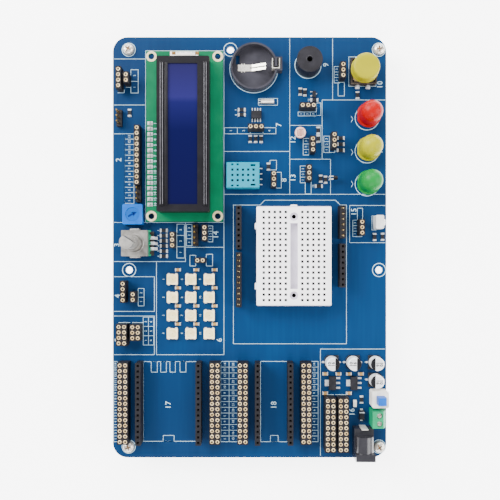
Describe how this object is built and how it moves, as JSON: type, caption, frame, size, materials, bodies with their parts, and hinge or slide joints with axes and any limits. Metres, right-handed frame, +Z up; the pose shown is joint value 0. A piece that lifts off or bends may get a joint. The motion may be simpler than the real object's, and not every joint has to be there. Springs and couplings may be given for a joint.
{
  "type": "development board",
  "caption": "Large circuit board with display, knob, push button, lamps, sensors, colour pixels, breadboard, sockets and power inputs, for teaching electronics.",
  "frame": {"origin": "under the centre of the board, on the surface the standoffs stand on", "axes": "+Z up from the board's face, +Y along the board towards the display's end, +X towards the lamps' edge"},
  "size_m": [0.13, 0.2, 0.0381],
  "materials": {
    "board_laminate": "gloss",
    "display_laminate": "gloss",
    "standoff_brass": "satin",
    "screw_steel": "gloss",
    "bezel_steel": "satin",
    "display_glass": "gloss",
    "backlight_acrylic": "satin",
    "epoxy_black": "matte",
    "trimmer_plastic": "satin",
    "encoder_plastic": "matte",
    "encoder_zinc": "satin",
    "encoder_wheel_nylon": "matte",
    "holder_plastic": "matte",
    "contact_steel": "satin",
    "chip_epoxy": "matte",
    "crystal_can": "satin",
    "humidity_plastic": "satin",
    "sensor_laminate": "matte",
    "buzzer_plastic": "matte",
    "button_plastic": "matte",
    "cover_steel": "satin",
    "cap_yellow": "satin",
    "lamp_red": "gloss",
    "lamp_yellow": "gloss",
    "lamp_green": "gloss",
    "sensor_ceramic": "satin",
    "receiver_steel": "satin",
    "breadboard_plastic": "matte",
    "pad_foam": "matte",
    "socket_plastic": "matte",
    "pin_brass": "gloss",
    "pixel_plastic": "satin",
    "resistor_ceramic": "satin",
    "capacitor_ceramic": "satin",
    "can_aluminium": "satin",
    "status_plastic": "satin",
    "lead_tin": "satin",
    "switch_plastic": "satin",
    "plunger_plastic": "satin",
    "terminal_plastic": "satin",
    "jack_plastic": "satin"
  },
  "bodies": {
    "board": {"main_board": "board_laminate", "corner_standoffs": "standoff_brass", "corner_screws": "screw_steel", "display_board": "display_laminate", "display_bezel": "bezel_steel", "display_glass": "display_glass", "display_backlight": "backlight_acrylic", "display_driver_blobs": "epoxy_black", "trimmer_body": "trimmer_plastic", "encoder_housing": "encoder_plastic", "encoder_frame": "encoder_zinc", "encoder_terminals": "lead_tin", "cell_holder": "holder_plastic", "cell_fork": "contact_steel", "cell_clip": "contact_steel", "clock_chip": "chip_epoxy", "clock_crystal": "crystal_can", "humidity_case": "humidity_plastic", "humidity_element": "sensor_laminate", "buzzer_case": "buzzer_plastic", "button_base": "button_plastic", "button_cover": "cover_steel", "red_lamp": "lamp_red", "yellow_lamp": "lamp_yellow", "green_lamp": "lamp_green", "light_sensor": "sensor_ceramic", "thermistor_bead": "epoxy_black", "infrared_receiver": "receiver_steel", "breadboard_block": "breadboard_plastic", "breadboard_pad": "pad_foam", "shield_sockets": "socket_plastic", "controller_sockets": "socket_plastic", "controller_strips": "socket_plastic", "power_strips": "socket_plastic", "module_strips": "socket_plastic", "pin_headers": "socket_plastic", "header_pins": "pin_brass", "pixel_lamps": "pixel_plastic", "chip_resistors": "resistor_ceramic", "chip_capacitors": "capacitor_ceramic", "status_lamp": "status_plastic", "capacitor_bases": "socket_plastic", "capacitor_cans": "can_aluminium", "power_chips": "chip_epoxy", "component_leads": "lead_tin", "switch_housing": "switch_plastic", "terminal_housing": "terminal_plastic", "jack_housing": "jack_plastic", "jack_contacts": "contact_steel"},
    "encoder_wheel": {"encoder_rotor": "encoder_wheel_nylon"},
    "encoder_spindle": {"encoder_shaft": "encoder_zinc"},
    "trimmer_wiper": {"trimmer_rotor": "trimmer_plastic"},
    "button_head": {"button_stem": "button_plastic", "button_cap": "cap_yellow"},
    "switch_button": {"switch_plunger": "plunger_plastic"},
    "clamp_screw_north": {"terminal_screw_north": "screw_steel"},
    "clamp_screw_south": {"terminal_screw_south": "screw_steel"},
    "clamp_cage_north": {"terminal_cage_north": "contact_steel"},
    "clamp_cage_south": {"terminal_cage_south": "contact_steel"}
  },
  "joints": [
    {"name": "encoder_turn", "type": "hinge", "parent": "board", "child": "encoder_wheel", "pos_m": [-0.05365, 0.00175, 0.0116], "axis": [0, 0, 1], "continuous": true},
    {"name": "encoder_push", "type": "slide", "parent": "encoder_wheel", "child": "encoder_spindle", "axis": [0, 0, -1], "range_m": [0, 0.0005], "stiffness_N_per_m": 8000, "springref_m": -0.0002},
    {"name": "trimmer_turn", "type": "hinge", "parent": "board", "child": "trimmer_wiper", "pos_m": [-0.0549, 0.0154, 0.0116], "axis": [0, 0, 1], "range_deg": [-105, 105]},
    {"name": "button_press", "type": "slide", "parent": "board", "child": "button_head", "axis": [0, 0, -1], "range_m": [0, 0.00035], "stiffness_N_per_m": 5000, "springref_m": -0.0002},
    {"name": "switch_press", "type": "slide", "parent": "board", "child": "switch_button", "axis": [0, 0, -1], "range_m": [0, 0.0022], "stiffness_N_per_m": 700, "springref_m": -0.001},
    {"name": "clamp_turn_north", "type": "hinge", "parent": "board", "child": "clamp_screw_north", "pos_m": [0.0601, -0.07815, 0.0116], "axis": [0, 0, -1], "range_deg": [0, 1080]},
    {"name": "clamp_turn_south", "type": "hinge", "parent": "board", "child": "clamp_screw_south", "pos_m": [0.0601, -0.08185, 0.0116], "axis": [0, 0, -1], "range_deg": [0, 1080]},
    {"name": "clamp_rise_north", "type": "slide", "parent": "board", "child": "clamp_cage_north", "axis": [0, 0, 1], "range_m": [0, 0.0015]},
    {"name": "clamp_rise_south", "type": "slide", "parent": "board", "child": "clamp_cage_south", "axis": [0, 0, 1], "range_m": [0, 0.0015]}
  ],
  "couplings": [
    {"joint": "clamp_turn_north", "follows": "clamp_rise_north", "rad_per_m": 12566},
    {"joint": "clamp_turn_south", "follows": "clamp_rise_south", "rad_per_m": 12566}
  ]
}
